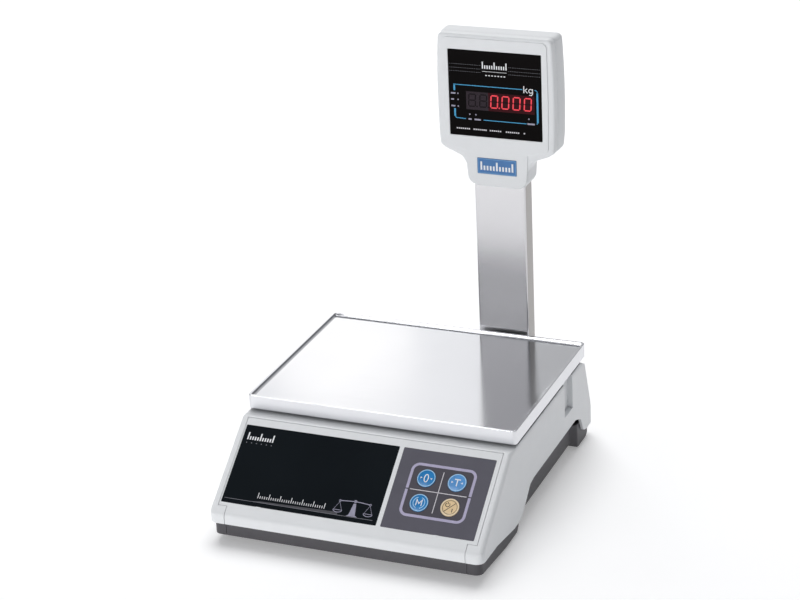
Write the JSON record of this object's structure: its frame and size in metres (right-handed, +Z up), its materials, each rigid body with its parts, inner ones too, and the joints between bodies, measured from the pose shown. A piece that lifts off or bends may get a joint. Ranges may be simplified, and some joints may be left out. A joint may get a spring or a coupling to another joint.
{
  "type": "retail price scale",
  "caption": "Counter weighing scale with a steel platter, sloping keypad panel, levelling feet and a customer display on a rear pole.",
  "frame": {"origin": "middle of the footprint, on the counter", "axes": "+Z up; -Y towards the operator, who faces the sloping panel; +X to the operator's right"},
  "size_m": [0.307, 0.375, 0.4695],
  "materials": {
    "cover_plastic": "fine moulded texture",
    "base_plastic": "fine moulded texture",
    "display_black": "polished",
    "keypad_film": "satin film",
    "key_blue": "satin",
    "key_cream": "satin",
    "circuit_board": "solder resist",
    "black_plastic": "moulded",
    "insulation": "soft sheath",
    "zinc_steel": "zinc plated",
    "cast_aluminium": "machined",
    "stainless": "fine brushed",
    "rubber": "matt",
    "brass": "turned",
    "level_glass": "tinted liquid in a clear cup",
    "badge_blue": "smooth"
  },
  "bodies": {
    "root": {"top_cover": "cover_plastic", "base_tray": "base_plastic", "front_fascia": "cover_plastic", "front_trim": "base_plastic", "display_plate": "display_black", "keypad_overlay": "keypad_film", "keypad_board": "circuit_board", "key_switches": "black_plastic", "main_board": "circuit_board", "board_chips": "black_plastic", "board_screws": "zinc_steel", "dc_inlet": "black_plastic", "power_lead": "insulation", "keypad_lead": "insulation", "chassis_plate": "zinc_steel", "cell_spacer": "cast_aluminium", "load_cell": "cast_aluminium", "cell_base_bolts": "zinc_steel", "cell_lead": "insulation", "overload_stops": "zinc_steel", "level_housing": "cover_plastic", "level_vial": "level_glass", "level_bubble": "level_glass", "calibration_cover": "base_plastic", "case_screws": "zinc_steel", "foot_inserts": "brass", "pole": "stainless", "pole_bracket": "zinc_steel", "pole_screws": "zinc_steel", "pole_collar": "rubber", "display_cable": "insulation", "head_front_shell": "cover_plastic", "head_rear_shell": "cover_plastic", "head_window": "display_black", "head_board": "circuit_board", "head_digits": "black_plastic", "head_screws": "zinc_steel", "head_badge": "badge_blue"},
    "platform": {"carrier_spacer": "cast_aluminium", "platter_carrier": "cast_aluminium", "carrier_bolts": "zinc_steel", "carrier_pads": "rubber"},
    "platter": {"platter": "stainless"},
    "key_zero": {"key_zero": "key_blue"},
    "key_tare": {"key_tare": "key_blue"},
    "key_mode": {"key_mode": "key_blue"},
    "key_power": {"key_power": "key_cream"},
    "foot_front_left": {"foot_pad_front_left": "rubber"},
    "foot_screw_front_left": {"foot_screw_front_left": "zinc_steel"},
    "foot_front_right": {"foot_pad_front_right": "rubber"},
    "foot_screw_front_right": {"foot_screw_front_right": "zinc_steel"},
    "foot_rear_left": {"foot_pad_rear_left": "rubber"},
    "foot_screw_rear_left": {"foot_screw_rear_left": "zinc_steel"},
    "foot_rear_right": {"foot_pad_rear_right": "rubber"},
    "foot_screw_rear_right": {"foot_screw_rear_right": "zinc_steel"}
  },
  "joints": [
    {"name": "platform_travel", "type": "slide", "parent": "root", "child": "platform", "axis": [0, 0, 1], "range_m": [-0.0006, 0], "stiffness_N_per_m": 300000, "deforming": ["load_cell"]},
    {"name": "platter_lift", "type": "slide", "parent": "platform", "child": "platter", "axis": [0, 0, 1], "range_m": [0, 0.06]},
    {"name": "key_zero_press", "type": "slide", "parent": "root", "child": "key_zero", "axis": [0, 0.599, -0.8007], "range_m": [0, 0.0004], "stiffness_N_per_m": 4000},
    {"name": "key_tare_press", "type": "slide", "parent": "root", "child": "key_tare", "axis": [0, 0.599, -0.8007], "range_m": [0, 0.0004], "stiffness_N_per_m": 4000},
    {"name": "key_mode_press", "type": "slide", "parent": "root", "child": "key_mode", "axis": [0, 0.599, -0.8007], "range_m": [0, 0.0004], "stiffness_N_per_m": 4000},
    {"name": "key_power_press", "type": "slide", "parent": "root", "child": "key_power", "axis": [0, 0.599, -0.8007], "range_m": [0, 0.0004], "stiffness_N_per_m": 4000},
    {"name": "foot_front_left_height", "type": "slide", "parent": "root", "child": "foot_front_left", "axis": [0, 0, -1], "range_m": [0, 0.006]},
    {"name": "foot_front_left_turn", "type": "hinge", "parent": "foot_front_left", "child": "foot_screw_front_left", "pos_m": [-0.126, -0.101, 0.01], "axis": [0, 0, -1], "range_deg": [0, 1730]},
    {"name": "foot_front_right_height", "type": "slide", "parent": "root", "child": "foot_front_right", "axis": [0, 0, -1], "range_m": [0, 0.006]},
    {"name": "foot_front_right_turn", "type": "hinge", "parent": "foot_front_right", "child": "foot_screw_front_right", "pos_m": [0.126, -0.101, 0.01], "axis": [0, 0, -1], "range_deg": [0, 1730]},
    {"name": "foot_rear_left_height", "type": "slide", "parent": "root", "child": "foot_rear_left", "axis": [0, 0, -1], "range_m": [0, 0.006]},
    {"name": "foot_rear_left_turn", "type": "hinge", "parent": "foot_rear_left", "child": "foot_screw_rear_left", "pos_m": [-0.126, 0.15, 0.01], "axis": [0, 0, -1], "range_deg": [0, 1730]},
    {"name": "foot_rear_right_height", "type": "slide", "parent": "root", "child": "foot_rear_right", "axis": [0, 0, -1], "range_m": [0, 0.006]},
    {"name": "foot_rear_right_turn", "type": "hinge", "parent": "foot_rear_right", "child": "foot_screw_rear_right", "pos_m": [0.126, 0.15, 0.01], "axis": [0, 0, -1], "range_deg": [0, 1730]}
  ],
  "couplings": [
    {"joint": "foot_front_left_turn", "follows": "foot_front_left_height", "rad_per_m": 5026.5},
    {"joint": "foot_front_right_turn", "follows": "foot_front_right_height", "rad_per_m": 5026.5},
    {"joint": "foot_rear_left_turn", "follows": "foot_rear_left_height", "rad_per_m": 5026.5},
    {"joint": "foot_rear_right_turn", "follows": "foot_rear_right_height", "rad_per_m": 5026.5}
  ]
}
